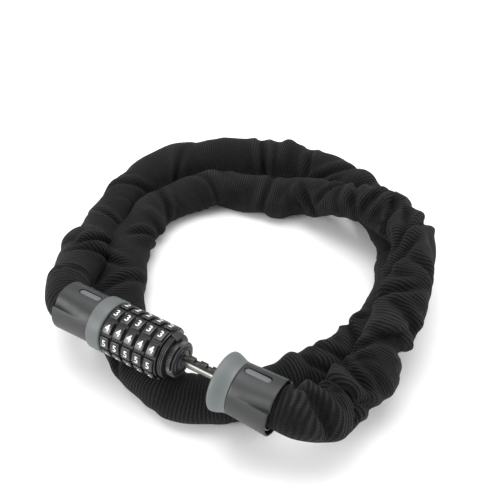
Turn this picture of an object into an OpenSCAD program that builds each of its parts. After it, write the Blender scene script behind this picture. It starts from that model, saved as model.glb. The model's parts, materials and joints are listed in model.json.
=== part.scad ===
// Five-dial combination chain lock, lying coiled with its bolt drawn out.
// Millimetres. X runs along the lock from the fixed cap to the bolt's cap, Z is up.
// The origin is on the surface it lies on, under the middle dial.

/* [Dials] */
// Diameter over the numbered keys
dial_d = 28; // [26:0.5:36]
// Distance from one dial to the next
dial_pitch = 6.8; // [5.6:0.1:8.4]
// Clear gap between neighbouring dials
dial_gap = 0.3; // [0.2:0.05:0.5]
// How far a key stands above the dial's body
key_h = 1.2; // [0.6:0.1:2]
// Width of the open channel between two keys, along the rim
key_channel = 1.8; // [1:0.1:3]
// Step at each side of a key, along the lock
key_side = 0.5; // [0.3:0.1:1]
// How far the row of keys is turned from straight up, in degrees
key_turn = 4; // [-18:1:18]

/* [Barrel and tumblers] */
// Diameter of the barrel that the tumblers turn on
barrel_d = 9; // [8:0.1:10.8]
// Diameter of the barrel's flange at the fixed end
flange_d = 16.6; // [14:0.2:17.6]
// Outer diameter of a tumbler ring, which is the dial's bore
tumbler_d = 16.2; // [15:0.1:19.4]
// Width of the inner rim that holds a bolt tooth back
rim_w = 2; // [1.4:0.1:2.4]
// Depth of the rim, from the barrel out
rim_h = 1.2; // [1:0.1:1.6]
// Thickness of the detent spring's strip
leaf_t = 0.35; // [0.25:0.05:0.4]

/* [Bolt] */
// Diameter of the bolt's bar
bar_d = 4.7; // [3.9:0.1:5]
// Thickness of a tooth across the bolt
tooth_w = 2.4; // [2:0.1:2.9]
// Gap between two teeth
tooth_gap = 2.6; // [2.5:0.1:3]
// How many pitches the bolt is drawn out at rest
drawn = 4; // [3:1:4]

/* [End fittings] */
// Diameter of both caps
cap_d = 26; // [25:0.5:31.5]
// Wall of both caps
cap_wall = 1.4; // [1.2:0.1:1.7]
// Length of the fixed cap's body
left_cap_len = 23.8; // [20:0.2:28.6]
// Length of the bolt cap's body
right_cap_len = 21.2; // [19.6:0.2:25.6]
// Diameter of the fixed grey ring
left_ring_d = 29; // [26.5:0.5:29.5]
// Length of the fixed grey ring
left_ring_len = 8.6; // [7.4:0.2:10.4]
// Diameter of the bolt's grey ring at its lip
right_ring_d = 30; // [27:0.5:30]
// Length of the bolt's grey ring
right_ring_len = 9.3; // [8.7:0.1:11.2]
// Angle that the fixed cap is turned by, in degrees
left_cap_turn = 12; // [0:1:20]
// How far the bolt's cap and its inlay are turned back from straight up, in degrees
right_cap_turn = 11; // [0:1:20]
// Length of the grey inlay on each cap
inlay_len = 13.4; // [11:0.2:15]
// Width of the grey inlay
inlay_w = 3.4; // [3:0.2:4.2]

/* [Nose] */
// Diameter of the ridged ring beside the dials
thrust_d = 23.2; // [22:0.2:24.6]
// Length of the ridged ring
thrust_len = 2.9; // [2.4:0.1:3.5]
// Diameter of the code-setting ring
reset_d = 18.5; // [16:0.5:18.8]
// Length of the code-setting ring
reset_len = 4.3; // [3.8:0.1:4.6]
// Diameter of the nose collar that it turns on
nose_d = 14; // [13:0.2:14.4]

/* [Chain and sleeve] */
// Thickness of the chain's wire
wire_d = 5; // [4.2:0.1:5]
// Room inside a link, across
link_gap = 8.6; // [7.4:0.1:8.6]
// Room inside a link, along the chain
link_pitch = 18.5; // [15.5:0.5:22.5]
// Diameter of the pins that hold the chain's ends
chain_pin_d = 5; // [4.2:0.1:5.4]
// Thickness of the sleeve's cloth, as it packs
sleeve_wall = 0.8; // [0.6:0.1:0.9]
// Height of the lock's axis above the surface it lies on
axis_h = 36; // [36:0.5:43]

/* [Hidden] */
$fn = 64;

dial_n = 5;
key_n = 10;
run = 0.1;      // radial play of a piece that turns or slides on another
seat = 0.05;    // radial play of a piece that is pressed or screwed in
face = 0.3;     // play between faces that move past each other
over = 1;       // how far a cut runs past the face it opens

// Along the lock
stack_half = dial_n * dial_pitch / 2;
dial_w = dial_pitch - dial_gap;
left_ring_x1 = -stack_half - face / 2;
left_ring_x0 = left_ring_x1 - left_ring_len;
joint_gap = 0.2;
left_cap_x = left_ring_x0 - joint_gap;
thrust_x0 = stack_half + face / 2;
thrust_x1 = thrust_x0 + thrust_len;
reset_x0 = thrust_x1 + face;
reset_x1 = reset_x0 + reset_len;
nose_x1 = reset_x1 + 0.6;
travel = drawn * dial_pitch;
right_ring_x0 = thrust_x1 + face + travel;
right_ring_x1 = right_ring_x0 + right_ring_len;
right_cap_x = right_ring_x1 + joint_gap;

// Across the barrel
barrel_r = barrel_d / 2;
rim_r = barrel_r + run;
well_r = rim_r + rim_h;
bar_r = bar_d / 2;
bore_r = bar_r + run + seat;
tooth_top = well_r - 0.2;
slot_w = tooth_w + 0.4;
slot_top = well_r + run;
tooth_len = dial_pitch - tooth_gap;
tip_past_tooth = 2.4;
bolt_tip_x = dial_x(1) - dial_pitch / 2 - tooth_len / 2 - tip_past_tooth + travel;
bore_end_x = bolt_tip_x - travel - 0.8;

// Inside the caps, measured from the cap's shoulder towards its mouth
cap_r = cap_d / 2;
cap_bore_r = cap_r - cap_wall;
web_t = 2.4;
disc_t = 2.6;
neck_r = 4;
neck_len = 2.6;
cross_pin_x = 1.4;     // from the shoulder back along the neck
spigot_r = 10.9;
spigot_bore_r = flange_d / 2 + 0.2;
pin_r = chain_pin_d / 2;
bow_play = 0.15;
fork_x = web_t + disc_t;
pin_x = fork_x + face + wire_d + bow_play + pin_r;
cheek_in = wire_d / 2 + 0.35;
cheek_t = 3.1;
cheek_half_h = 4.6;
cheek_end = pin_x + pin_r + 0.9;
left_spigot = left_ring_len - 3.8;
right_recess = nose_x1 - thrust_x1 + 0.45;
right_web = 1.2;
right_spigot = right_ring_len - right_recess - right_web - 0.2;
clamp_w = 5;
clamp_t = 0.5;
inlay_x = 8.7;
inlay_t = 0.9;
inlay_sunk = 0.1;
screw_r = 1.25;
cross_pin_r = 0.8;

// The chain
wire_r = wire_d / 2;
link_half_w = link_gap / 2 + wire_d;
bow_r = (link_gap + wire_d) / 2;
sleeve_end_w = 2 * (link_half_w + 0.3 + sleeve_wall);
left_pin_x = left_cap_x - pin_x;
right_pin_x = right_cap_x + pin_x;

// The middle of the sleeve as it lies: x, y, z, width, height
route = [
    [left_pin_x, 0, axis_h, sleeve_end_w, sleeve_end_w],
    [left_cap_x - left_cap_len, 0, axis_h, sleeve_end_w, sleeve_end_w],
    [-55, 1.4, 35.9, 21, 21],
    [-61, 7.4, 34.5, 23.4, 23.2],
    [-71.5, 20.5, 29.5, 25, 22],
    [-85, 41.5, 22, 25, 22],
    [-97, 66, 15, 25, 22],
    [-108, 95, 11, 25, 22],
    [-117, 124, 11, 25, 22],
    [-118, 155, 12, 27, 24],
    [-106, 182, 13, 29, 26],
    [-82, 203, 13, 29, 26],
    [-53, 217, 13, 29, 26],
    [-22, 224, 13, 29, 26],
    [10, 220, 13, 29, 26],
    [38, 208, 12, 27, 24],
    [62, 186, 11, 25, 22],
    [80, 159, 11, 25, 22],
    [90, 129, 11, 25, 22],
    [93, 99, 11, 25, 22],
    [86, 67, 11, 25, 22],
    [70, 36, 10.4, 25, 20.8],
    [48, 10, 10.3, 25, 20.6],
    [26, -3, 10.3, 25, 20.6],
    [4, -2, 10.3, 25, 20.6],
    [-20, 8, 10.3, 25, 20.6],
    [-40, 25, 10.6, 25, 21.2],
    [-58, 48, 11, 25, 22],
    [-73, 73, 11, 25, 22],
    [-82, 100, 11, 25, 22],
    [-81, 127, 11, 25, 22],
    [-68, 152, 11.8, 26.5, 23.5],
    [-46, 166, 11.8, 26.5, 23.5],
    [-20, 175, 12.5, 26.5, 23.5],
    [5, 180, 17, 26.5, 23.5],
    [30, 176, 26, 25, 22],
    [54, 170, 33, 25, 22],
    [78, 160, 35.5, 25, 22],
    [92, 142, 36.5, 25, 22],
    [100, 120, 35, 25, 22],
    [102.5, 95.5, 33, 24.5, 22],
    [103.5, 74, 30.5, 23.5, 21.5],
    [102.5, 51, 22.5, 23.5, 21.5],
    [100, 30.5, 23, 25, 22],
    [95.5, 14.5, 26, 24.5, 22.5],
    [right_cap_x + right_cap_len + 8, 1, 35, 23, 23],
    [right_cap_x + right_cap_len - 2.5, 0, axis_h, sleeve_end_w, sleeve_end_w],
    [right_pin_x, 0, axis_h, sleeve_end_w, sleeve_end_w]
];

plastic_dark = [0.17, 0.17, 0.18];
plastic_grey = [0.62, 0.63, 0.63];
dial_black = [0.09, 0.09, 0.1];
steel = [0.72, 0.73, 0.75];
zinc = [0.55, 0.56, 0.58];
cloth = [0.06, 0.06, 0.065];

// Middle of dial k, counted from 1
function dial_x(k) = (k - (dial_n + 1) / 2) * dial_pitch;

// A smooth curve through the route, at t counted in points
function spline(p0, p1, p2, p3, t) =
    0.5 * (2 * p1 + (p2 - p0) * t + (2 * p0 - 5 * p1 + 4 * p2 - p3) * t * t
        + (3 * p1 - p0 - 3 * p2 + p3) * t * t * t);
function along(t) = let (
    n = len(route),
    i = min(floor(t), n - 2)
) spline(route[max(i - 1, 0)], route[i], route[i + 1], route[min(i + 2, n - 1)], t - i);
// Its place, kept from sinking into the surface below
function place(p) = [p[0], p[1], max(p[2], p[4] / 2)];

// ---- Shapes along the lock's axis ----

module at_axis(x = 0) {
    translate([x, 0, axis_h]) children();
}

// A rod from x0 to x1 in the frame of the piece it belongs to
module rod(x0, x1, r) {
    translate([x0, 0, 0]) rotate([0, 90, 0]) cylinder(h = x1 - x0, r = r);
}

module tube(x0, x1, r_out, r_in) {
    difference() {
        rod(x0, x1, r_out);
        rod(x0 - over, x1 + over, r_in);
    }
}

// A turned piece whose outline is given as [x, radius] points
module turned(outline) {
    rotate([0, 90, 0]) rotate_extrude() polygon([for (p = outline) [p[1], p[0]]]);
}

// The keyway that lets the bolt's teeth pass, open upwards
module tooth_way(x0, x1, top = slot_top) {
    translate([x0, -slot_w / 2, 0]) cube([x1 - x0, slot_w, top]);
}

// ---- Fittings that both ends share: x runs from the ring to the mouth ----

module pill(length, width, height) {
    linear_extrude(height) union() {
        square([length - width, width], center = true);
        for (s = [-1, 1]) translate([s * (length - width) / 2, 0]) circle(d = width, $fn = 32);
    }
}

// The soft crease that deepens towards the mouth, on both sides of a cap
module side_scoops(body_len) {
    scoop_r = 5;
    for (s = [-1, 1]) {
        translate([body_len * 0.3, s * (cap_r + scoop_r), 0.6])
            rotate([0, 0, -s * 4])
                rotate([0, 90, 0]) cylinder(h = body_len, r = scoop_r);
    }
}

module cap_body(body_len, spigot_len) {
    edge = 0.6;
    difference() {
        union() {
            turned([[0, 0], [0, cap_r], [body_len - edge, cap_r], [body_len, cap_r - edge / 2],
                [body_len, 0]]);
            rod(-spigot_len, over, spigot_r);
        }
        rod(web_t, body_len + over, cap_bore_r);
        rod(-spigot_len - over, 0, spigot_bore_r);
        rod(-over, web_t + over, neck_r + run);
        translate([inlay_x, 0, cap_r - inlay_t])
            pill(inlay_len + 2 * run, inlay_w + 2 * run, inlay_t + over);
        translate([web_t + disc_t / 2, 0, neck_r]) cylinder(h = cap_r, r = screw_r + seat);
        side_scoops(body_len);
    }
}

module inlay_plate() {
    translate([inlay_x, 0, cap_r - inlay_t + seat])
        pill(inlay_len, inlay_w, inlay_t - seat - inlay_sunk);
}

module anchor_block(bar_hole) {
    disc_r = cap_bore_r - seat;
    difference() {
        union() {
            rod(web_t, fork_x, disc_r);
            rod(-neck_len, web_t + seat, neck_r);
            for (s = [-1, 1]) {
                translate([fork_x - seat, s > 0 ? cheek_in : -cheek_in - cheek_t, -cheek_half_h])
                    cube([cheek_end - fork_x, cheek_t, 2 * cheek_half_h]);
            }
        }
        translate([pin_x, 0, 0]) rotate([90, 0, 0])
            cylinder(h = 3 * cap_r, r = pin_r + seat, center = true);
        translate([web_t + disc_t / 2, 0, 6]) cylinder(h = cap_r, r = screw_r + seat);
        translate([-cross_pin_x, 0, 0]) cylinder(h = 3 * neck_r, r = cross_pin_r + seat, center = true);
        if (bar_hole) rod(-neck_len - over, web_t, bar_r + seat);
    }
}

module chain_pin() {
    length = 2 * (cheek_in + cheek_t);
    translate([pin_x, 0, 0]) rotate([90, 0, 0]) cylinder(h = length, r = pin_r, center = true);
}

module clamp_ring(body_len) {
    x0 = body_len - 1.2 - clamp_w;
    tube(x0, x0 + clamp_w, cap_bore_r - run, cap_bore_r - run - clamp_t);
}

module cap_screw() {
    translate([web_t + disc_t / 2, 0, 6.2]) cylinder(h = cap_r - inlay_t - 6.4, r = screw_r);
}

// ---- Fixed end ----

module at_left_end(turn = left_cap_turn) {
    at_axis(left_cap_x) rotate([-turn, 0, 0]) rotate([0, 0, 180]) children();
}

module left_cap() {
    color(plastic_dark) at_left_end() cap_body(left_cap_len, left_spigot);
}

module left_inlay() {
    color(plastic_grey) at_left_end() inlay_plate();
}

module left_cap_screw() {
    color(steel) at_left_end() cap_screw();
}

module left_anchor() {
    color(zinc) at_left_end() anchor_block(false);
}

module left_chain_pin() {
    color(steel) at_left_end() chain_pin();
}

module left_clamp() {
    color(steel) at_left_end() clamp_ring(left_cap_len);
}

module left_ring() {
    r = left_ring_d / 2;
    crown = 0.5;
    x0 = left_ring_x0;
    x1 = left_ring_x1;
    color(plastic_grey) at_axis() difference() {
        turned(concat(
            [[x0, 0]],
            [for (k = [0:8]) let (a = 180 * k / 8)
                [x0 + (x1 - x0) * (1 - cos(a)) / 2, r - crown + crown * sin(a)]],
            [[x1, 0]]
        ));
        rod(x0 - over, x0 + left_spigot + face, spigot_r + run);
        rod(x0, x1 + over, flange_d / 2 + run);
    }
}

module barrel() {
    flange_x0 = left_ring_x0 + 0.1;
    color(zinc) at_axis() difference() {
        union() {
            rod(flange_x0, left_ring_x1, flange_d / 2);
            rod(left_ring_x1 - over, nose_x1 - 0.2, barrel_r);
        }
        rod(bore_end_x, nose_x1 + over, bore_r);
        rod(flange_x0 - over, left_cap_x + neck_len + seat, neck_r + seat);
        tooth_way(dial_x(1) - dial_pitch / 2 - tooth_len / 2 - 0.5, nose_x1 + over);
        translate([left_cap_x + cross_pin_x, 0, 0]) rotate([-left_cap_turn, 0, 0])
            cylinder(h = flange_d + 2 * over, r = cross_pin_r + seat, center = true);
        // Groove for the detent spring
        translate([-stack_half + face, -1.6, -barrel_r - over])
            cube([2 * (stack_half - face), 3.2, barrel_r + over - bore_r - 0.75]);
        // Groove for the retaining clip
        tube(nose_x1 - 0.75, nose_x1 - 0.3, barrel_r + over, barrel_r - 0.4);
    }
}

module barrel_pin() {
    color(steel) at_axis(left_cap_x + cross_pin_x) rotate([-left_cap_turn, 0, 0])
        cylinder(h = flange_d - 0.6, r = cross_pin_r, center = true);
}

// One strip with a bump under each tumbler, pressed into one of its ten notches
module detent_spring() {
    strip_top = -bore_r - 0.8;
    strip_bottom = strip_top - leaf_t;
    bump_x = rim_w / 2 + 1.2;
    bump_bottom = -well_r - 0.25;
    color(steel) at_axis() union() {
        translate([-stack_half + 0.5, -1.4, strip_bottom]) cube([2 * stack_half - 1, 2.8, leaf_t]);
        for (k = [1:dial_n]) {
            translate([dial_x(k) + bump_x, 0, 0]) rotate([90, 0, 0])
                linear_extrude(2, center = true)
                    polygon([[-0.85, strip_bottom + seat], [0.85, strip_bottom + seat],
                        [0.4, bump_bottom], [-0.4, bump_bottom]]);
        }
    }
}

// ---- Dials ----

module tumbler(k) {
    color(zinc) at_axis(dial_x(k)) difference() {
        rod(-dial_w / 2, dial_w / 2, tumbler_d / 2);
        rod(-dial_w, dial_w, rim_r);
        for (s = [-1, 1]) {
            translate([s * dial_w, 0, 0]) rod(-dial_w + rim_w / 2, dial_w - rim_w / 2, well_r);
        }
        tooth_way(-dial_w, dial_w, well_r);
        for (i = [0:key_n - 1]) {
            for (s = [-1, 1]) {
                rotate([i * 360 / key_n, 0, 0])
                    translate([s > 0 ? rim_w / 2 : -dial_w, 0, -well_r + 0.2])
                        rod(0, dial_w - rim_w / 2, 1.25);
            }
        }
    }
}

module dial(k) {
    r = dial_d / 2;
    color(dial_black) at_axis(dial_x(k)) rotate([key_turn, 0, 0]) difference() {
        rod(-dial_w / 2, dial_w / 2, r);
        rod(-dial_w, dial_w, tumbler_d / 2 + seat);
        // A step at each side leaves the keys standing
        for (s = [-1, 1]) {
            translate([s * (dial_w - key_side), 0, 0])
                tube(-dial_w / 2, dial_w / 2, r + over, r - key_h);
        }
        // Channels between the keys
        for (i = [0:key_n - 1]) {
            rotate([(i + 0.5) * 360 / key_n, 0, 0])
                translate([-dial_w, -key_channel / 2, r - key_h])
                    cube([2 * dial_w, key_channel, key_h + over]);
        }
    }
}

module dial_1() { dial(1); }
module dial_2() { dial(2); }
module dial_3() { dial(3); }
module dial_4() { dial(4); }
module dial_5() { dial(5); }
module tumbler_1() { tumbler(1); }
module tumbler_2() { tumbler(2); }
module tumbler_3() { tumbler(3); }
module tumbler_4() { tumbler(4); }
module tumbler_5() { tumbler(5); }

// ---- Nose ----

lug_half_w = 2.7;
lug_bottom = thrust_d / 2 - 0.7;
lug_top = thrust_d / 2 + 1;
lug_reach = 1.5;
lug_turn = -22;

module thrust_ring() {
    r = thrust_d / 2;
    groove = 0.4;
    color(dial_black) at_axis() difference() {
        rod(thrust_x0, thrust_x1, r);
        rod(thrust_x0 - over, thrust_x1 + over, barrel_r + seat);
        tooth_way(thrust_x0 - over, thrust_x1 + over);
        for (s = [1:2]) {
            x = thrust_x0 + s * thrust_len / 3;
            tube(x - groove / 2, x + groove / 2, r + over, r - groove);
        }
        rotate([lug_turn, 0, 0]) translate([thrust_x0 - over, -lug_half_w - run, lug_bottom - seat])
            cube([thrust_len + 2 * over, 2 * (lug_half_w + run), r]);
    }
}

// The mark that the code is read against
module index_lug() {
    toe = thrust_x1 + lug_reach;
    color(plastic_dark) at_axis() rotate([lug_turn, 0, 0]) translate([0, lug_half_w, 0])
        rotate([90, 0, 0]) linear_extrude(2 * lug_half_w)
            polygon([[thrust_x0 + 0.1, lug_bottom], [thrust_x1 + 0.1, lug_bottom],
                [thrust_x1 + 0.1, reset_d / 2 + 0.4], [toe, reset_d / 2 + 0.4],
                [toe, lug_top - 1.2], [thrust_x1, lug_top], [thrust_x0 + 0.1, lug_top]]);
}

module spring_washer() {
    x = thrust_x1 + 0.05;
    color(steel) at_axis() tube(x, x + face - 0.1, nose_d / 2 + 1.6, nose_d / 2 + run);
}

module nose_collar() {
    r = nose_d / 2;
    lip = 1;
    clip_seat = 0.8;
    x0 = thrust_x1;
    color(plastic_dark) at_axis() difference() {
        turned([[x0, 0], [x0, r], [nose_x1 - lip, r], [nose_x1 - lip * 0.3, r - lip * 0.3],
            [nose_x1, r - lip], [nose_x1, 0]]);
        rod(x0 - over, nose_x1 + over, barrel_r + seat);
        rod(nose_x1 - clip_seat, nose_x1 + over, barrel_r + 1);
        tooth_way(x0 - over, nose_x1 + over);
        rotate([stop_angle, 0, 0]) translate([stop_x, 0, 0])
            cylinder(h = r + over, r = stop_r + seat, $fn = 24);
    }
}

module retaining_clip() {
    color(steel) at_axis() difference() {
        tube(nose_x1 - 0.7, nose_x1 - 0.35, barrel_r + 0.85, barrel_r - 0.35);
        tooth_way(nose_x1 - 1, nose_x1, barrel_r + over);
    }
}

// The pin stands at one end of the ring's arc slot; the ring turns by stop_turn
stop_r = 0.4;
stop_turn = 90;
stop_x = reset_x1 - 1.1;
stop_angle = 90;
slot_spare = 4;

module reset_stop_pin() {
    color(steel) at_axis() rotate([stop_angle, 0, 0]) translate([stop_x, 0, slot_top + run])
        cylinder(h = reset_d / 2 - 0.3 - slot_top - run, r = stop_r, $fn = 24);
}

module reset_ring() {
    r = reset_d / 2;
    color(dial_black) at_axis() difference() {
        turned([[reset_x0, 0], [reset_x0, r], [reset_x1 - 0.5, r], [reset_x1, r - 0.5], [reset_x1, 0]]);
        rod(reset_x0 - over, reset_x1 + over, nose_d / 2 + run);
        // The arc slot starts at the pin and runs up over the front of the ring
        rotate([stop_angle + slot_spare, 0, 0]) translate([stop_x, 0, 0])
            rotate([0, 90, 0]) rotate([0, 0, 90 + 90 - (stop_turn + 2 * slot_spare)])
                rotate_extrude(angle = stop_turn + 2 * slot_spare)
                    translate([nose_d / 2 - over, -stop_r - run])
                        square([r - nose_d / 2 + 2 * over, 2 * (stop_r + run)]);
    }
}

// ---- Bolt end ----

module bolt() {
    tip = 1.2;
    root_x1 = right_cap_x + web_t - face;
    shoulder_x0 = dial_x(dial_n) - dial_pitch / 2 + travel + tooth_len / 2 + tooth_gap;
    color(steel) at_axis() difference() {
        union() {
            turned([[bolt_tip_x, 0], [bolt_tip_x, bar_r - tip / 2], [bolt_tip_x + tip, bar_r],
                [root_x1, bar_r], [root_x1, 0]]);
            for (k = [1:dial_n]) {
                translate([dial_x(k) - dial_pitch / 2 + travel - tooth_len / 2, -tooth_w / 2, 0])
                    cube([tooth_len, tooth_w, tooth_top]);
            }
            translate([shoulder_x0, -tooth_w / 2, 0])
                cube([right_ring_x0 + right_recess - shoulder_x0, tooth_w, tooth_top]);
        }
        translate([right_cap_x - cross_pin_x, 0, 0]) rotate([-right_cap_turn, 0, 0])
            cylinder(h = 3 * bar_d, r = cross_pin_r + seat, center = true);
    }
}

module bolt_pin() {
    color(steel) at_axis(right_cap_x - cross_pin_x) rotate([-right_cap_turn, 0, 0])
        cylinder(h = 2 * neck_r - 0.2, r = cross_pin_r, center = true);
}

module at_right_end() {
    at_axis(right_cap_x) rotate([-right_cap_turn, 0, 0]) children();
}

module right_anchor() {
    color(zinc) at_right_end() anchor_block(true);
}

// Flared towards the dials, drawn in to the cap's size at the other end
module right_ring() {
    r = right_ring_d / 2;
    lip = 1.6;
    x0 = right_ring_x0;
    x1 = right_ring_x1;
    steps = 8;
    color(plastic_grey) at_axis() difference() {
        turned(concat(
            [[x0, 0]],
            [for (k = [0:4]) let (a = 90 * k / 4) [x0 + lip * (1 - cos(a)), r - lip + lip * sin(a)]],
            [for (k = [1:steps]) let (t = k / steps)
                [x0 + lip + (x1 - x0 - lip) * t, cap_r + (r - cap_r) * (1 + cos(180 * t)) / 2]],
            [[x1, 0]]
        ));
        rod(x0 - over, x0 + right_recess, reset_d / 2 + 0.35);
        rod(x0, x1 + over, bar_r + run);
        rod(x1 - right_spigot - joint_gap, x1 + over, spigot_r + run);
        // Room for the index lug when the lock is shut
        rotate([lug_turn, 0, 0]) translate([x0 - over, -lug_half_w - face, 0])
            cube([over + lug_reach + 0.6, 2 * (lug_half_w + face), lug_top + face]);
    }
}

module right_cap() {
    color(plastic_dark) at_right_end() cap_body(right_cap_len, right_spigot);
}

module right_inlay() {
    color(plastic_grey) at_right_end() inlay_plate();
}

module right_cap_screw() {
    color(steel) at_right_end() cap_screw();
}

module right_chain_pin() {
    color(steel) at_right_end() chain_pin();
}

module right_clamp() {
    color(steel) at_right_end() clamp_ring(right_cap_len);
}

// ---- Chain ----

bunch_n = 5;    // links at each end that are pushed together
bunch = 0.04;   // by this share of their length
fine = 8;       // steps that the route is measured in, for each point
line = [for (k = [0:(len(route) - 1) * fine]) place(along(k / fine))];
lead = pin_r;   // the end links reach back past the sleeve's end, round their pins
chain_line = concat(
    [line[0] + [lead, 0, 0]],
    line,
    [line[len(line) - 1] - [lead, 0, 0]]
);
run_of = [for (k = 0, s = 0; k < len(chain_line);
    s = s + (k + 1 < len(chain_line) ? norm(chain_line[k + 1] - chain_line[k]) : 0), k = k + 1) s];
chain_len = run_of[len(run_of) - 1];
link_n = 2 * ceil((chain_len / link_pitch + 2 * bunch_n * bunch + 1) / 2) - 1;
// Where each link ends, along the chain; the end links lie closer, round the bends
function link_step(i) = i < bunch_n || i >= link_n - bunch_n ? 1 - bunch : 1;
steps = [for (i = 0, s = 0; i <= link_n; s = s + link_step(i), i = i + 1) s];
function link_end(i) = chain_len * steps[i] / steps[link_n];
function chain_at(s) = [for (a = [0:2])
    lookup(s, [for (k = [0:len(run_of) - 1]) [run_of[k], chain_line[k][a]]])];

// One link: its middle at the origin, its length along X, flat in XY
module link() {
    half = link_pitch / 2 + wire_r + bow_play - bow_r;
    union() {
        for (s = [-1, 1]) {
            translate([-half, s * bow_r, 0]) rotate([0, 90, 0])
                cylinder(h = 2 * half, r = wire_r, $fn = 24);
            translate([s * half, 0, 0]) rotate([0, 0, s > 0 ? -90 : 90])
                rotate_extrude(angle = 180, $fn = 32) translate([bow_r, 0]) circle(r = wire_r, $fn = 24);
        }
    }
}

module chain_links() {
    turn_in = 4;    // links over which the chain turns from its anchor's angle to slanting
    color(steel) for (i = [0:link_n - 1]) {
        a = chain_at(link_end(i));
        b = chain_at(link_end(i + 1));
        d = b - a;
        // The slack in the end links is drawn towards the chain, so that they sit on their pins
        slack = (link_pitch - norm(d)) / 2;
        pull = i == 0 ? slack : i == link_n - 1 ? -slack : 0;
        // Upright in its anchor at either end, slanting between them
        slant = i < turn_in ? left_cap_turn + (45 - left_cap_turn) * i / turn_in
            : right_cap_turn + (45 - right_cap_turn) * min(1, (link_n - 1 - i) / turn_in);
        translate((a + b) / 2 + d * pull / norm(d))
            rotate([0, -atan2(d[2], norm([d[0], d[1]])), atan2(d[1], d[0])])
                rotate([90 * (1 + i % 2) + slant, 0, 0]) link();
    }
}

// ---- Sleeve ----

ring_sides = 12;
rings_per_point = 2;

// The ring of points round the route at t, drawn in by inset; it has a flat side below
function sleeve_ring(t, inset) = let (
    p = along(t),
    step = 0.05,
    last = len(route) - 1,
    a = place(along(max(t - step, 0))),
    b = place(along(min(t + step, last))),
    ahead = (b - a) / norm(b - a),
    side = cross([0, 0, 1], ahead) / norm(cross([0, 0, 1], ahead)),
    up = cross(ahead, side),
    grow = 1 / cos(180 / ring_sides)
) [for (k = [0:ring_sides - 1]) let (w = 360 * (k + 0.5) / ring_sides)
    place(p) + side * cos(w) * grow * (p[3] / 2 - inset) + up * sin(w) * grow * (p[4] / 2 - inset)];

function flat(lists) = [for (l = lists) for (p = l) p];

module sleeve() {
    ring_n = (len(route) - 1) * rings_per_point + 1;
    outer = flat([for (k = [0:ring_n - 1]) sleeve_ring(k / rings_per_point, 0)]);
    inner = flat([for (k = [0:ring_n - 1]) sleeve_ring(k / rings_per_point, sleeve_wall)]);
    first_in = ring_n * ring_sides;
    last = (ring_n - 1) * ring_sides;
    faces = concat(
        [for (k = [0:ring_n - 2]) for (i = [0:ring_sides - 1]) let (
            a = k * ring_sides + i,
            b = k * ring_sides + (i + 1) % ring_sides)
            [a, a + ring_sides, b + ring_sides, b]],
        [for (k = [0:ring_n - 2]) for (i = [0:ring_sides - 1]) let (
            a = first_in + k * ring_sides + i,
            b = first_in + k * ring_sides + (i + 1) % ring_sides)
            [a, b, b + ring_sides, a + ring_sides]],
        [for (i = [0:ring_sides - 1]) let (j = (i + 1) % ring_sides)
            [i, j, first_in + j, first_in + i]],
        [for (i = [0:ring_sides - 1]) let (j = (i + 1) % ring_sides)
            [last + j, last + i, first_in + last + i, first_in + last + j]]
    );
    color(cloth) polyhedron(points = concat(outer, inner), faces = faces, convexity = 10);
}

left_cap();
left_inlay();
left_ring();
left_anchor();
left_chain_pin();
left_clamp();
left_cap_screw();
barrel();
barrel_pin();
detent_spring();
thrust_ring();
index_lug();
spring_washer();
nose_collar();
retaining_clip();
reset_stop_pin();
reset_ring();
dial_1();
dial_2();
dial_3();
dial_4();
dial_5();
tumbler_1();
tumbler_2();
tumbler_3();
tumbler_4();
tumbler_5();
bolt();
bolt_pin();
right_anchor();
right_ring();
right_cap();
right_inlay();
right_chain_pin();
right_clamp();
right_cap_screw();
chain_links();
sleeve();
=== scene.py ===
"""A five-dial chain lock with its bolt drawn out, lying in two turns of ribbed black sleeve."""
import json
import math
import random

import bmesh
import bpy
import numpy as np
from mathutils import Matrix, Vector


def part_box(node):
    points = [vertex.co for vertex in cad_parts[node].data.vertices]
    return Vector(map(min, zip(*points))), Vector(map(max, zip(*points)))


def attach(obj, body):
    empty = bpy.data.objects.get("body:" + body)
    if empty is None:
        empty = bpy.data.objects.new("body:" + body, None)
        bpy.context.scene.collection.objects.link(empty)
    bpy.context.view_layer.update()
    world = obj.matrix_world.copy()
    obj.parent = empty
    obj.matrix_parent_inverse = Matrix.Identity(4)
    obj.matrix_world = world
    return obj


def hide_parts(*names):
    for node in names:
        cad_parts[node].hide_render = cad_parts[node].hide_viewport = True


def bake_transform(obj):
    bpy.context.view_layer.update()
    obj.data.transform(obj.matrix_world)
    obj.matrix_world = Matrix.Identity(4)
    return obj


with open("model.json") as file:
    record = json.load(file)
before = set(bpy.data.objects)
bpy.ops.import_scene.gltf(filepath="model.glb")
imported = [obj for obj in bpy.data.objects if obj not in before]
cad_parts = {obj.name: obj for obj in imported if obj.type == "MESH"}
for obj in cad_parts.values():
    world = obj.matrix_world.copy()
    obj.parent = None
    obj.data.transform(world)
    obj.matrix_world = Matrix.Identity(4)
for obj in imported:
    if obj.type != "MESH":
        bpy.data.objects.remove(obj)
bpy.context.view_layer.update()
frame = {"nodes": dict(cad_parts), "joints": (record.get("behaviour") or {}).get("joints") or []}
nodes = frame["nodes"]

MM = 0.001
DIALS = 5
KEYS = 10
KEY_STEP = math.tau / KEYS


def span(node, axis):
    """Where a CAD node starts and ends along one axis, in millimetres"""
    low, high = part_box(node)
    return low[axis] / MM, high[axis] / MM


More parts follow.
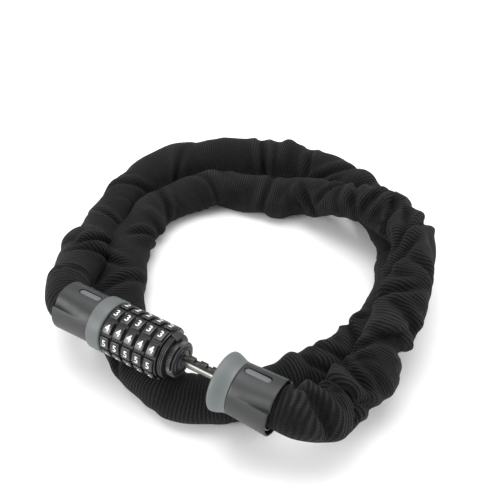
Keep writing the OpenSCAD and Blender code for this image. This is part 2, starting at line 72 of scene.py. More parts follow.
# ---- Sizes from the frame, in millimetres ----
AXIS_Z = sum(span("right_cap", 2)) / 2
CAP_R = (span("right_cap", 2)[1] - span("right_cap", 2)[0]) / 2
DIAL_R = (span("dial_3", 2)[1] - span("dial_3", 2)[0]) / 2
LEFT_RING = span("left_ring", 0)
RIGHT_RING = span("right_ring", 0)
LEFT_RING_R = (span("left_ring", 2)[1] - span("left_ring", 2)[0]) / 2
RIGHT_RING_R = (span("right_ring", 2)[1] - span("right_ring", 2)[0]) / 2
JOINT = 0.2
LEFT_SHOULDER = LEFT_RING[0] - JOINT
LEFT_MOUTH = span("left_cap", 0)[0]
RIGHT_SHOULDER = RIGHT_RING[1] + JOINT
RIGHT_MOUTH = span("right_cap", 0)[1]
THRUST = span("thrust_ring", 0)
THRUST_R = (AXIS_Z - span("thrust_ring", 2)[0])
RESET = span("reset_ring", 0)
RESET_R = AXIS_Z - span("reset_ring", 2)[0]
NOSE = span("nose_collar", 0)
NOSE_R = AXIS_Z - span("nose_collar", 2)[0]
BOLT = span("bolt", 0)
BAR_R = AXIS_Z - span("bolt", 2)[0]
TOOTH_TOP = span("bolt", 2)[1] - AXIS_Z
BARREL_R = 4.5
LUG = span("index_lug", 0)
LUG_HALF = 2.7
LUG_TOP = THRUST_R + 1
LUG_TURN = math.radians(-22)
LEFT_TURN = math.radians(-12)
RIGHT_TURN = math.radians(-11)

CAP_WALL = 1.4
CAP_BORE_R = CAP_R - CAP_WALL
SPIGOT_R = 10.9


# ---- Camera ----
def aim_camera():
    camera_data = bpy.data.cameras.new("camera")
    camera = bpy.data.objects.new("camera", camera_data)
    bpy.context.scene.collection.objects.link(camera)
    camera.location = (0.1481, -0.1467, 0.2681)
    looks_along = Vector((-0.392, 0.658, -0.643))
    camera.rotation_mode = "QUATERNION"
    camera.rotation_quaternion = looks_along.to_track_quat("-Z", "Y")
    camera_data.lens = 43.9
    camera_data.sensor_width = 36
    camera_data.clip_start = 0.01
    bpy.context.scene.camera = camera


aim_camera()


# ---- Materials ----
def linear(hex_colour):
    """An sRGB colour such as "#4a4b4d" as linear RGBA"""
    parts = [int(hex_colour[i:i + 2], 16) / 255 for i in (1, 3, 5)]
    return tuple(c / 12.92 if c <= 0.04045 else ((c + 0.055) / 1.055) ** 2.4 for c in parts) + (1.0,)


def add(tree, kind, settings=None, **links):
    """Adds a node, sets its properties and sockets, and links sockets named with _ for spaces"""
    made = tree.nodes.new(kind)
    for name, value in (settings or {}).items():
        if isinstance(name, int) or name in made.inputs:
            made.inputs[name].default_value = value
        else:
            setattr(made, name, value)
    for name, source in links.items():
        key = int(name[1:]) if name[0] == "i" and name[1:].isdigit() else name.replace("_", " ")
        tree.links.new(source, made.inputs[key])
    return made


def blank(name, **shader_values):
    """A material with one shader, and that shader"""
    material = bpy.data.materials.new(name)
    material.use_nodes = True
    tree = material.node_tree
    tree.nodes.clear()
    shader = add(tree, "ShaderNodeBsdfPrincipled", {k.replace("_", " "): v for k, v in shader_values.items()})
    add(tree, "ShaderNodeOutputMaterial", Surface=shader.outputs[0])
    return material, tree, shader


def plastic(name, colour, light_colour, rough, grain_mm, grain_depth_mm=0.004, mottle=0.5):
    """Moulded ABS: even colour that fades a little over centimetres, fine spark-eroded grain"""
    material, tree, shader = blank(name, IOR=1.54)
    place = add(tree, "ShaderNodeTexCoord").outputs["Object"]
    broad = add(tree, "ShaderNodeTexNoise", {"Scale": 1 / (22 * MM), "Detail": 3.0}, Vector=place)
    shade = add(tree, "ShaderNodeMix", {"data_type": "RGBA", 6: linear(colour), 7: linear(light_colour)})
    amount = add(tree, "ShaderNodeMath", {"operation": "MULTIPLY", 1: mottle}, i0=broad.outputs["Fac"])
    tree.links.new(amount.outputs[0], shade.inputs[0])
    tree.links.new(shade.outputs[2], shader.inputs["Base Color"])
    grain = add(tree, "ShaderNodeTexNoise", {"Scale": 1 / (grain_mm * MM), "Detail": 2.0}, Vector=place)
    # Handling polishes some places and dulls others
    wear = add(tree, "ShaderNodeTexNoise", {"Scale": 1 / (9 * MM), "Detail": 4.0}, Vector=place)
    gloss = add(tree, "ShaderNodeMapRange", {"From Min": 0.3, "From Max": 0.7, "To Min": rough - 0.05,
                                             "To Max": rough + 0.07}, Value=wear.outputs["Fac"])
    tree.links.new(gloss.outputs[0], shader.inputs["Roughness"])
    bump = add(tree, "ShaderNodeBump", {"Strength": 0.5, "Distance": grain_depth_mm * MM},
               Height=grain.outputs["Fac"])
    tree.links.new(bump.outputs[0], shader.inputs["Normal"])
    return material


def steel(name, colour, rough, mark_mm, stretch=(1, 12, 12), depth_mm=0.004):
    """Metal with fine marks that run across the stretched axes"""
    material, tree, shader = blank(name, Metallic=1.0)
    place = add(tree, "ShaderNodeTexCoord").outputs["Object"]
    lengthened = add(tree, "ShaderNodeMapping", {"Scale": tuple(1 / s for s in stretch)}, Vector=place)
    marks = add(tree, "ShaderNodeTexNoise", {"Scale": 1 / (mark_mm * MM), "Detail": 4.0},
                Vector=lengthened.outputs[0])
    stain = add(tree, "ShaderNodeTexNoise", {"Scale": 1 / (6 * MM), "Detail": 4.0}, Vector=place)
    tint = add(tree, "ShaderNodeMapRange", {"From Min": 0.3, "From Max": 0.7, "To Min": 0.84, "To Max": 1.0},
               Value=stain.outputs["Fac"])
    shade = add(tree, "ShaderNodeMix", {"data_type": "RGBA", "blend_type": "MULTIPLY", 0: 1.0,
                                        6: linear(colour)}, i7=tint.outputs[0])
    tree.links.new(shade.outputs[2], shader.inputs["Base Color"])
    gloss = add(tree, "ShaderNodeMapRange", {"From Min": 0.3, "From Max": 0.7, "To Min": rough - 0.06,
                                             "To Max": rough + 0.08}, Value=marks.outputs["Fac"])
    tree.links.new(gloss.outputs[0], shader.inputs["Roughness"])
    bump = add(tree, "ShaderNodeBump", {"Strength": 0.4, "Distance": depth_mm * MM},
               Height=marks.outputs["Fac"])
    tree.links.new(bump.outputs[0], shader.inputs["Normal"])
    return material


# Charcoal ABS moulded in a lightly textured tool: a satin skin with soft, wide highlights
charcoal_abs = plastic("charcoal_abs_moulded", "#1e1f20", "#272929", 0.46, 0.35)
# Light grey ABS strip, pressed into the cap: flatter and paler than what it sits in
grey_abs_inlay = plastic("light_grey_abs_inlay", "#5a5c5f", "#66686b", 0.5, 0.3)
# Mid grey ABS of the fixed ring, cooler than the inlay
grey_abs_ring = plastic("mid_grey_abs_ring", "#555959", "#606464", 0.48, 0.35)
# The bolt's ring is the same grey ABS, painted slightly lighter than the fixed ring as painted light
ring_abs_painted_lighter = plastic("grey_abs_ring_painted_lighter", "#5a5f60", "#686d6e", 0.48, 0.35)
# Black acetal dials: slick, with a tight highlight on every key's edge
black_acetal = plastic("black_acetal_dial", "#0f0f10", "#18181a", 0.27, 0.25, 0.003)
# Pad-printed white enamel ink, a little broken at its edge
white_ink = plastic("white_pad_printed_ink", "#dfe0e0", "#f2f2f2", 0.5, 0.12, 0.004)
# Glass-filled black nylon of the nose: duller than the dials
black_nylon = plastic("black_glass_filled_nylon", "#0d0d0f", "#161618", 0.44, 0.22, 0.006)
# The setting ring is unfilled nylon, painted paler than the nose as painted light, so that its ribs show as
# light lines
ribbed_nylon = plastic("dark_grey_nylon_ring", "#2a2a2d", "#3a3a3e", 0.38, 0.22, 0.004)
# Nickel-plated steel bolt, drawn along its length
nickel_steel = steel("nickel_plated_drawn_steel", "#7b7a78", 0.32, 0.25, (14, 1, 1))
# The teeth are punched and then blackened
dark_steel = steel("blackened_punched_steel", "#3f3d3b", 0.42, 0.3, (1, 1, 1))
# Zinc die casting: pale, slightly bluish, with a dull cast skin
cast_zinc = steel("zinc_die_casting", "#9a9da1", 0.46, 0.5, (1, 1, 1), 0.01)
# Ground steel pins and screws
ground_steel = steel("ground_steel_pin", "#aaa9a6", 0.3, 0.2, (1, 10, 10))
# Rolled strip: springs, clips and the clamps in the caps
rolled_strip = steel("rolled_strip_steel", "#8f8f8e", 0.33, 0.2, (8, 1, 1))
# Hardened chain wire, zinc plated: soft sheen, with faint yellow
plated_chain = steel("zinc_plated_hardened_steel", "#a3a19a", 0.36, 0.6, (1, 1, 1), 0.01)

RIB_MM = 1.7
YARN_MM = 1.05


def ribbed_cloth(name):
    """Woven polyester with a raised rib round the sleeve: the rib's height is painted into its colour, short
    crests in painted highlight over gaps in painted shade
    """
    material, tree, shader = blank(name, Roughness=0.82, IOR=1.5)
    shader.inputs["Sheen Weight"].default_value = 0.04
    shader.inputs["Sheen Roughness"].default_value = 0.45
    shader.inputs["Sheen Tint"].default_value = linear("#b9bcc2")
    shader.inputs["Specular IOR Level"].default_value = 0.22
    laid = add(tree, "ShaderNodeUVMap", {"uv_map": "laid"})
    # The yarns wander a little, so no rib is ruler straight
    wander = add(tree, "ShaderNodeTexNoise", {"Scale": 1 / (12 * MM), "Detail": 2.0}, Vector=laid.outputs[0])
    shift = add(tree, "ShaderNodeVectorMath", {"operation": "SCALE", 3: 1.6 * MM}, i0=wander.outputs["Color"])
    moved = add(tree, "ShaderNodeVectorMath", {"operation": "ADD"}, i0=laid.outputs[0], i1=shift.outputs[0])
    parts = add(tree, "ShaderNodeSeparateXYZ", Vector=moved.outputs[0])

    def wave(along_socket, pitch_mm, phase=None):
        turned = add(tree, "ShaderNodeMath", {"operation": "MULTIPLY", 1: math.tau / (pitch_mm * MM)},
                     i0=along_socket)
        if phase is not None:
            turned = add(tree, "ShaderNodeMath", {"operation": "ADD"}, i0=turned.outputs[0], i1=phase)
        sine = add(tree, "ShaderNodeMath", {"operation": "SINE"}, i0=turned.outputs[0])
        return add(tree, "ShaderNodeMapRange", {"From Min": -1.0, "From Max": 1.0}, Value=sine.outputs[0])

    rib = wave(parts.outputs["Y"], RIB_MM)
    slant = add(tree, "ShaderNodeMath", {"operation": "MULTIPLY", 1: math.pi / (RIB_MM * MM)},
                i0=parts.outputs["Y"])
    yarn = wave(parts.outputs["X"], YARN_MM, slant.outputs[0])
    crest = add(tree, "ShaderNodeMath", {"operation": "MULTIPLY", 1: 0.72}, i0=rib.outputs[0])
    twist = add(tree, "ShaderNodeMath", {"operation": "MULTIPLY", 1: 0.28}, i0=yarn.outputs[0])
    height = add(tree, "ShaderNodeMath", {"operation": "ADD"}, i0=crest.outputs[0], i1=twist.outputs[0])
    fade = add(tree, "ShaderNodeTexNoise", {"Scale": 1 / (35 * MM), "Detail": 5.0}, Vector=laid.outputs[0])
    lit = add(tree, "ShaderNodeMath", {"operation": "MULTIPLY"}, i0=height.outputs[0], i1=fade.outputs["Fac"])
    # Painted highlight on the rib crests and painted shade in the gaps between them, faded at random
    rib_painted_light = add(tree, "ShaderNodeValToRGB", Fac=lit.outputs[0])
    ramp = rib_painted_light.color_ramp
    ramp.elements[0].position = 0.17
    ramp.elements[0].color = linear("#020202")
    ramp.elements[1].position = 0.52
    ramp.elements[1].color = linear("#1d1d1f")
    # Painted shade in the folds' valleys and painted light on their crests, read from the cloth's attribute
    painted_fold_shading = add(tree, "ShaderNodeAttribute", {"attribute_name": "painted_fold_shading"})
    fold_shading_factor = add(tree, "ShaderNodeMapRange", {"From Min": 0.15, "From Max": 0.9, "To Min": 0.18, "To Max": 1.7},
               Value=painted_fold_shading.outputs["Fac"])
    fold_shaded = add(tree, "ShaderNodeMix", {"data_type": "RGBA", "blend_type": "MULTIPLY", 0: 1.0},
               i6=rib_painted_light.outputs[0], i7=fold_shading_factor.outputs[0])
    tree.links.new(fold_shaded.outputs[2], shader.inputs["Base Color"])
    bump = add(tree, "ShaderNodeBump", {"Strength": 1.0, "Distance": 0.9 * MM}, Height=height.outputs[0])
    tree.links.new(bump.outputs[0], shader.inputs["Normal"])
    return material


black_sleeve = ribbed_cloth("black_ribbed_woven_polyester")


# ---- Making pieces ----
def settle(bm, name, materials, body, replaced, turn=0.0, smooth_angle=35):
    """Puts a bmesh made round the X axis in millimetres onto the lock's axis, and hands it to its body"""
    bmesh.ops.rotate(bm, verts=bm.verts, cent=(0, 0, 0), matrix=Matrix.Rotation(turn, 3, "X"))
    bmesh.ops.scale(bm, vec=(MM, MM, MM), verts=bm.verts)
    bmesh.ops.translate(bm, vec=(0, 0, AXIS_Z * MM), verts=bm.verts)
    mesh = bpy.data.meshes.new(name)
    bm.to_mesh(mesh)
    bm.free()
    for material in materials:
        mesh.materials.append(material)
    mesh.shade_smooth()
    mesh.set_sharp_from_angle(angle=math.radians(smooth_angle))
    piece = bpy.data.objects.new(name, mesh)
    bpy.context.scene.collection.objects.link(piece)
    if body:
        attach(piece, body)
    if replaced:
        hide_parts(replaced)
    return piece


def soften(bm, offset, segments=3, angle=30):
    """Bevels every edge that turns more than angle"""
    sharp = [e for e in bm.edges if len(e.link_faces) == 2 and e.calc_face_angle() > math.radians(angle)]
    bmesh.ops.bevel(bm, geom=sharp, offset=offset, affect="EDGES", segments=segments, profile=0.5,
                    material=-1, clamp_overlap=True)


def spun(outline, steps=96, turn=math.tau):
    """A closed outline of (x, radius) points turned round the X axis, its faces outwards"""
    bm = bmesh.new()
    corners = [bm.verts.new((x, 0, r)) for x, r in outline]
    sides = [bm.edges.new((corners[i - 1], corners[i])) for i in range(len(corners))]
    full = turn >= math.tau
    if not full:
        cap = bm.faces.new(corners)
        bmesh.ops.spin(bm, geom=[cap], cent=(0, 0, 0), axis=(1, 0, 0), angle=turn, steps=steps)
    else:
        bmesh.ops.spin(bm, geom=corners + sides, cent=(0, 0, 0), axis=(1, 0, 0), angle=turn, steps=steps,
                       use_merge=True)
    bmesh.ops.remove_doubles(bm, verts=bm.verts, dist=0.0005)
    bmesh.ops.recalc_face_normals(bm, faces=bm.faces)
    return bm


def block(low, high):
    """A box between two corners"""
    bm = bmesh.new()
    bmesh.ops.create_cube(bm, size=1)
    size = Vector(high) - Vector(low)
    bmesh.ops.scale(bm, vec=size, verts=bm.verts)
    bmesh.ops.translate(bm, vec=(Vector(high) + Vector(low)) / 2, verts=bm.verts)
    return bm


def pour(source, target):
    """Adds one bmesh to another"""
    carrier = bpy.data.meshes.new("carrier")
    source.to_mesh(carrier)
    source.free()
    target.from_mesh(carrier)
    bpy.data.meshes.remove(carrier)


def carve(body_bm, tools, operation="DIFFERENCE"):
    """Cuts tools, each a bmesh, out of a bmesh, and returns what is left"""
    holders = []
    for bm in [body_bm] + tools:
        mesh = bpy.data.meshes.new("carved")
        bm.to_mesh(mesh)
        bm.free()
        holder = bpy.data.objects.new("carved", mesh)
        bpy.context.scene.collection.objects.link(holder)
        holders.append(holder)
    for tool in holders[1:]:
        cut = holders[0].modifiers.new("cut", "BOOLEAN")
        cut.operation = operation
        cut.solver = "EXACT"
        cut.object = tool
    bpy.context.view_layer.update()
    graph = bpy.context.evaluated_depsgraph_get()
    left = bmesh.new()
    left.from_mesh(holders[0].evaluated_get(graph).to_mesh())
    for holder in holders:
        mesh = holder.data
        bpy.data.objects.remove(holder)
        bpy.data.meshes.remove(mesh)
    bmesh.ops.remove_doubles(left, verts=left.verts, dist=0.0005)
    return left


# ---- Caps ----
CAP_ROWS = 26
INLAY_LEN = 13.4
INLAY_W = 3.4
INLAY_MIDDLE = 8.7
INLAY_GROOVE = 0.45
SCOOP_MM = 1.9
SCOOP_START = 0.25    # as a share of the cap's length
SCOOP_EDGE = math.radians(26)
SCOOP_SWEEP = math.radians(48)


def cap_outline(length, flare):
    """Half section of a cap from its shoulder at 0 to its wider mouth, with a rolled lip"""
    lip = 0.9
    mouth = CAP_R + flare
    outer = [(0.0, CAP_R - 0.35), (0.12, CAP_R - 0.1), (0.4, CAP_R)]
    outer += [(0.4 + (length - lip - 0.4) * i / CAP_ROWS, CAP_R + flare * (i / CAP_ROWS) ** 1.3)
              for i in range(1, CAP_ROWS + 1)]
    outer += [(length - lip / 2 + lip / 2 * math.cos(a), mouth - lip / 2 + lip / 2 * math.sin(a))
              for a in (math.radians(80), math.radians(50), math.radians(20), math.radians(-15))]
    inner = [(length - 0.3, mouth - 0.9), (length - 0.9, mouth - 1.15), (length * 0.45, CAP_BORE_R),
             (2.4, CAP_BORE_R), (2.4, 4.2), (0.0, 4.2)]
    return outer + inner


def scoop_depth(x, angle, length):
    """How far a cap's side is drawn in: a crisp lower edge, deepest just above it and at the mouth"""
    reach = min(max((x / length - SCOOP_START) / 0.7, 0.0), 1.0)
    # angle is measured from the side, upwards
    above = angle - SCOOP_EDGE
    if above < math.radians(1):
        return 0.0
    return SCOOP_MM * reach * max(1 - above / SCOOP_SWEEP, 0) ** 2.4


def pill_tool(grow, low, high):
    """The inlay's outline as a solid that stands on Z from low to high, wider by grow"""
    bm = bmesh.new()
    r = INLAY_W / 2 + grow
    half = (INLAY_LEN - INLAY_W) / 2
    rim = []
    for i in range(24):
        a = math.tau * (i + 0.5) / 24
        rim.append(bm.verts.new((INLAY_MIDDLE + math.copysign(half, math.cos(a)) + r * math.cos(a),
                                 r * math.sin(a), low)))
    face = bm.faces.new(rim)
    lifted = bmesh.ops.extrude_face_region(bm, geom=[face])["geom"]
    top = [v for v in lifted if isinstance(v, bmesh.types.BMVert)]
    bmesh.ops.translate(bm, vec=(0, 0, high - low), verts=top)
    bmesh.ops.recalc_face_normals(bm, faces=bm.faces)
    return bm


def make_end(side, shoulder, mouth, turn, flare, body):
    """A cap and its inlay. The cap is made from 0 at its shoulder to its mouth, then put at its end"""
    length = abs(mouth - shoulder)
    facing = 1 if mouth > shoulder else -1
    cap = spun(cap_outline(length, flare), steps=180)
    for v in cap.verts:
        r = math.hypot(v.co.y, v.co.z)
        if r > CAP_BORE_R - 0.2:
            for s in (-1, 1):
                depth = scoop_depth(v.co.x, math.atan2(v.co.z, s * v.co.y), length)
                if depth > 0 and s * v.co.y > 0:
                    v.co.y *= 1 - depth / r
                    v.co.z *= 1 - depth / r
    cap = carve(cap, [pill_tool(INLAY_GROOVE, CAP_R - 1.15, CAP_R + 2)])
    inlay = pill_tool(0.0, CAP_R - 1.1, CAP_R + 1)
    hull = spun([(0.0, 0.5), (0.0, CAP_R - 0.08), (length, CAP_R - 0.08), (length, 0.5)], steps=144)
    inlay = carve(inlay, [hull], "INTERSECT")
    soften(inlay, 0.22, 3, 40)
    # A dark gasket line lies in the groove round the inlay
    groove = pill_tool(INLAY_GROOVE, CAP_R - 1.15, CAP_R - 0.62)
    flip = Matrix.Rotation(math.pi, 3, "Z") if facing < 0 else Matrix.Identity(3)
    for bm, name, materials, replaced, slot in (
            (cap, side + "_cap_shell", [charcoal_abs], side + "_cap", "cap"),
            (groove, side + "_inlay_gasket", [black_nylon], None, "cap"),
            (inlay, side + "_inlay_strip", [grey_abs_inlay], side + "_inlay", "inlay")):
        bmesh.ops.rotate(bm, verts=bm.verts, cent=(0, 0, 0), matrix=flip)
        bmesh.ops.rotate(bm, verts=bm.verts, cent=(0, 0, 0), matrix=Matrix.Rotation(turn, 3, "X"))
        bmesh.ops.translate(bm, vec=(shoulder, 0, 0), verts=bm.verts)
        settle(bm, name, materials, body, replaced)


make_end("left", LEFT_SHOULDER, LEFT_MOUTH, LEFT_TURN, 0.4, "lock_body")
make_end("right", RIGHT_SHOULDER, RIGHT_MOUTH, RIGHT_TURN, 0.9, "bolt_end")


# ---- Grey rings ----
def make_left_ring():
    x0, x1 = LEFT_RING
    ring = spun([(x0, SPIGOT_R + 0.1), (x0, LEFT_RING_R - 0.45), (x0 + 0.5, LEFT_RING_R - 0.1),
                 ((x0 + x1) / 2, LEFT_RING_R), (x1 - 0.6, LEFT_RING_R - 0.12), (x1, LEFT_RING_R - 0.6),
                 (x1, 8.45), (x0 + 5.1, 8.45), (x0 + 5.1, SPIGOT_R + 0.1)], steps=144)
    soften(ring, 0.28)
    settle(ring, "fixed_ring", [grey_abs_ring], "lock_body", "left_ring")


def make_right_ring():
    """A flared lip towards the dials that draws in, in one hollow curve, to the cap"""
    x0, x1 = RIGHT_RING
    lip = 1.5
    # The nose goes into this recess when the lock is shut
    floor_x = x0 + NOSE[1] - THRUST[1] + 0.45
    recess_r = RESET_R + 0.35
    outline = [(x0, recess_r)]
    outline += [(x0 + lip * (1 - math.cos(a)), RIGHT_RING_R - lip + lip * math.sin(a))
                for a in [math.radians(15 * k) for k in range(7)]]
    flare = RIGHT_RING_R - CAP_R
    outline += [(x0 + lip + (x1 - x0 - lip - 0.25) * t, CAP_R + flare * (1 + math.cos(math.pi * t)) / 2)
                for t in [k / 12 for k in range(1, 13)]]
    outline += [(x1, CAP_R - 0.25), (x1, 11.0), (floor_x + 1.3, 11.0), (floor_x + 1.3, 2.5), (floor_x, 2.5),
                (floor_x, recess_r)]
    ring = spun(outline, steps=144)
    half = LUG_HALF + 0.3
    notch = block((x0 - 1, -half, 1), (x0 + 2.1, half, LUG_TOP + 0.3))
    bmesh.ops.rotate(notch, verts=notch.verts, cent=(0, 0, 0), matrix=Matrix.Rotation(LUG_TURN, 3, "X"))
    ring = carve(ring, [notch])
    settle(ring, "bolt_ring", [ring_abs_painted_lighter], "bolt_end", "right_ring")


make_left_ring()
make_right_ring()


# ---- Dials ----
KEY_W = 5.45
KEY_CHANNEL = 1.5
KEY_HEIGHT = 1.25
DIGIT_SIZE = 5.1
FIRST_KEY = math.radians(86)    # where the 3 stands, from the front up
BORE_R = 8.15


def digit(number):
    """A printed numeral, flat in XY, cut into strips so that it can bend round a key"""
    text = bpy.data.curves.new("numeral", "FONT")
    text.body = str(number)
    text.size = DIGIT_SIZE
    text.align_x = "CENTER"
    text.align_y = "CENTER"
    text.offset = 0.05
    text.extrude = 0.12
    text.resolution_u = 5
    holder = bpy.data.objects.new("numeral", text)
    bpy.context.scene.collection.objects.link(holder)
    bpy.context.view_layer.update()
    mesh = bpy.data.meshes.new_from_object(holder.evaluated_get(bpy.context.evaluated_depsgraph_get()))
    bpy.data.objects.remove(holder)
    bpy.data.curves.remove(text)
    bm = bmesh.new()
    bm.from_mesh(mesh)
    bpy.data.meshes.remove(mesh)
    low = min(v.co.y for v in bm.verts)
    high = max(v.co.y for v in bm.verts)
    left = min(v.co.x for v in bm.verts)
    right = max(v.co.x for v in bm.verts)
    bmesh.ops.translate(bm, vec=(-(left + right) / 2, -(low + high) / 2, 0), verts=bm.verts)
    half = (high - low) / 2
    for k in range(-4, 5):
        bmesh.ops.bisect_plane(bm, geom=bm.verts[:] + bm.edges[:] + bm.faces[:], dist=1e-5,
                               plane_co=(0, half * k / 4.5, 0), plane_no=(0, 1, 0))
    return bm


def wrap(bm, radius, middle_x, angle):
    """Bends a flat piece round the axis: its Y runs up round the dial, its Z stands outwards"""
    for v in bm.verts:
        a = angle + v.co.y / radius
        r = radius + v.co.z
        v.co = (middle_x + v.co.x, -r * math.cos(a), r * math.sin(a))


def key_block():
    """One raised key with soft edges, flat in XY"""
    arc = KEY_STEP * DIAL_R - KEY_CHANNEL
    bm = block((-KEY_W / 2, -arc / 2, -KEY_HEIGHT - 0.5), (KEY_W / 2, arc / 2, 0))
    top = [v for v in bm.verts if v.co.z > -0.1]
    # The sides draft inwards as a moulding's do
    for v in top:
        v.co.x *= 0.93
        v.co.y *= 0.93
    soften(bm, 0.34, 3)
    for k in range(-4, 5):
        bmesh.ops.bisect_plane(bm, geom=bm.verts[:] + bm.edges[:] + bm.faces[:], dist=1e-5,
                               plane_co=(0, arc * k / 10, 0), plane_no=(0, 1, 0))
    return bm


def make_dial(k):
    x0, x1 = span("dial_%d" % k, 0)
    body_r = DIAL_R - KEY_HEIGHT
    whole = spun([(x0, BORE_R), (x0, body_r - 0.3), (x0 + 0.3, body_r), (x1 - 0.3, body_r),
                  (x1, body_r - 0.3), (x1, BORE_R)], steps=80)
    for i in range(KEYS):
        angle = FIRST_KEY - KEY_STEP * (i - 3)
        key = key_block()
        wrap(key, DIAL_R, (x0 + x1) / 2, angle)
        bmesh.ops.recalc_face_normals(key, faces=key.faces)
        pour(key, whole)
        numeral = digit(i)
        wrap(numeral, DIAL_R - 0.07, (x0 + x1) / 2, angle)
        bmesh.ops.recalc_face_normals(numeral, faces=numeral.faces)
        for face in numeral.faces:
            face.material_index = 1
        pour(numeral, whole)
    settle(whole, "numbered_dial_%d" % k, [black_acetal, white_ink], "dial_body_%d" % k, "dial_%d" % k)


for k in range(1, DIALS + 1):
    make_dial(k)


# ---- Nose ----
def make_thrust_ring():
    """Two thin washers with a knurl, then the seat of the lug"""
    x0, x1 = THRUST
    width = x1 - x0
    whole = spun([(x0, 4.6), (x0, THRUST_R - 0.5), (x1, THRUST_R - 0.5), (x1, 4.6)], steps=96)
    for i in range(3):
        a = x0 + width * i / 3 + 0.12
        b = x0 + width * (i + 1) / 3 - 0.12
        washer = spun([(a, THRUST_R - 0.7), (a, THRUST_R - 0.12), (a + 0.15, THRUST_R), (b - 0.15, THRUST_R),
                       (b, THRUST_R - 0.12), (b, THRUST_R - 0.7)], steps=120)
        for v in washer.verts:
            # every other line of the knurl is let down
            step = round(math.atan2(v.co.z, v.co.y) / math.tau * 120)
            if step % 2 and math.hypot(v.co.y, v.co.z) > THRUST_R - 0.5:
                v.co.y *= 0.985
                v.co.z *= 0.985
        pour(washer, whole)
    slot = block((x0 - 1, -1.4, 0), (x1 + 1, 1.4, TOOTH_TOP + 0.2))
    whole = carve(whole, [slot])
    settle(whole, "ridged_washers", [black_nylon], "lock_body", "thrust_ring", smooth_angle=25)


RIBS = 52
RIB_DEPTH = 0.05      # as a share of the ring's radius
STOP_PLAY = 0.55


def make_reset_ring():
    """The ring that is turned to set a new code: fine ribs along it, and the arc slot for its stop"""
    x0, x1 = RESET
    outline = [(x0, NOSE_R + 0.1), (x0, RESET_R - 0.35), (x0 + 0.3, RESET_R), (x1 - 0.7, RESET_R),
               (x1 - 0.25, RESET_R - 0.25), (x1, RESET_R - 0.65), (x1, NOSE_R + 0.1)]
    ring = spun(outline, steps=RIBS * 4)
    for v in ring.verts:
        r = math.hypot(v.co.y, v.co.z)
        if r > RESET_R - 0.4:
            wave = math.cos(math.atan2(v.co.z, v.co.y) * RIBS)
            v.co.y *= 1 - RIB_DEPTH * (1 - wave) / 2
            v.co.z *= 1 - RIB_DEPTH * (1 - wave) / 2
    middle = x1 - 1.1
    arc = spun([(middle - STOP_PLAY, NOSE_R - 0.5), (middle - STOP_PLAY, RESET_R + 1),
                (middle + STOP_PLAY, RESET_R + 1), (middle + STOP_PLAY, NOSE_R - 0.5)], steps=48,
               turn=math.radians(98))
    # The slot runs from just below the front to just past the top
    bmesh.ops.rotate(arc, verts=arc.verts, cent=(0, 0, 0), matrix=Matrix.Rotation(math.radians(-4), 3, "X"))
    ring = carve(ring, [arc])
    settle(ring, "code_setting_ring", [ribbed_nylon], "reset_body", "reset_ring",
           smooth_angle=40)


def make_nose():
    x0, x1 = NOSE
    collar = spun([(x0, 4.6), (x0, NOSE_R), (x1 - 1.0, NOSE_R), (x1 - 0.5, NOSE_R - 0.2),
                   (x1 - 0.15, NOSE_R - 0.55), (x1, NOSE_R - 1.0), (x1, 5.5), (x1 - 0.8, 5.5),
                   (x1 - 0.8, 4.6)], steps=96)
    collar = carve(collar, [block((x0 - 1, -1.4, 0), (x1 + 1, 1.4, TOOTH_TOP + 0.2))])
    soften(collar, 0.12, 2, 50)
    settle(collar, "nose_sleeve", [black_nylon], "lock_body", "nose_collar")


def make_lug():
    """The block that the code is read against"""
    lug = block((LUG[0], -LUG_HALF, THRUST_R - 0.7), (LUG[1], LUG_HALF, LUG_TOP))
    for v in lug.verts:
        if v.co.x > LUG[1] - 0.1:
            v.co.z = max(RESET_R + 0.4, v.co.z - 1.1)
    soften(lug, 0.35, 4)
    settle(lug, "index_block", [charcoal_abs], "lock_body", "index_lug", turn=LUG_TURN)


make_thrust_ring()
make_reset_ring()
make_nose()
make_lug()


# ---- Bolt ----
def make_bolt():
    x0, x1 = BOLT
    tip = 1.2
    bar = spun([(x0, 0.01), (x0, BAR_R - tip * 0.65), (x0 + 0.25, BAR_R - tip * 0.4), (x0 + tip, BAR_R),
                (x1, BAR_R), (x1, 0.01)], steps=64)
    pitch = span("dial_2", 0)[0] - span("dial_1", 0)[0]
    travel = -next(j for j in frame["joints"] if j["name"] == "bolt_slide")["range_m"][0] / MM
    tooth_len = pitch - 2.6
    first = (span("dial_1", 0)[0] + span("dial_1", 0)[1]) / 2 - pitch / 2 + travel
    # The low rib that the teeth stand on runs in the barrel's keyway
    rib = block((first - tooth_len / 2, -1.1, 0.2), (RIGHT_RING[0] + 4.2, 1.1, BARREL_R - 0.4))
    soften(rib, 0.2, 2)
    for face in rib.faces:
        face.material_index = 1
    pour(rib, bar)
    for i in range(DIALS + 1):
        middle = first + i * pitch
        last = i == DIALS
        end = RIGHT_RING[0] + 4.2 if last else middle + tooth_len / 2
        tooth = block((middle - tooth_len / 2, -1.2, 0.2), (end, 1.2, TOOTH_TOP))
        soften(tooth, 0.3, 3)
        for face in tooth.faces:
            face.material_index = 1
        pour(tooth, bar)
    settle(bar, "toothed_bolt", [nickel_steel, dark_steel], "bolt_end", "bolt")


make_bolt()

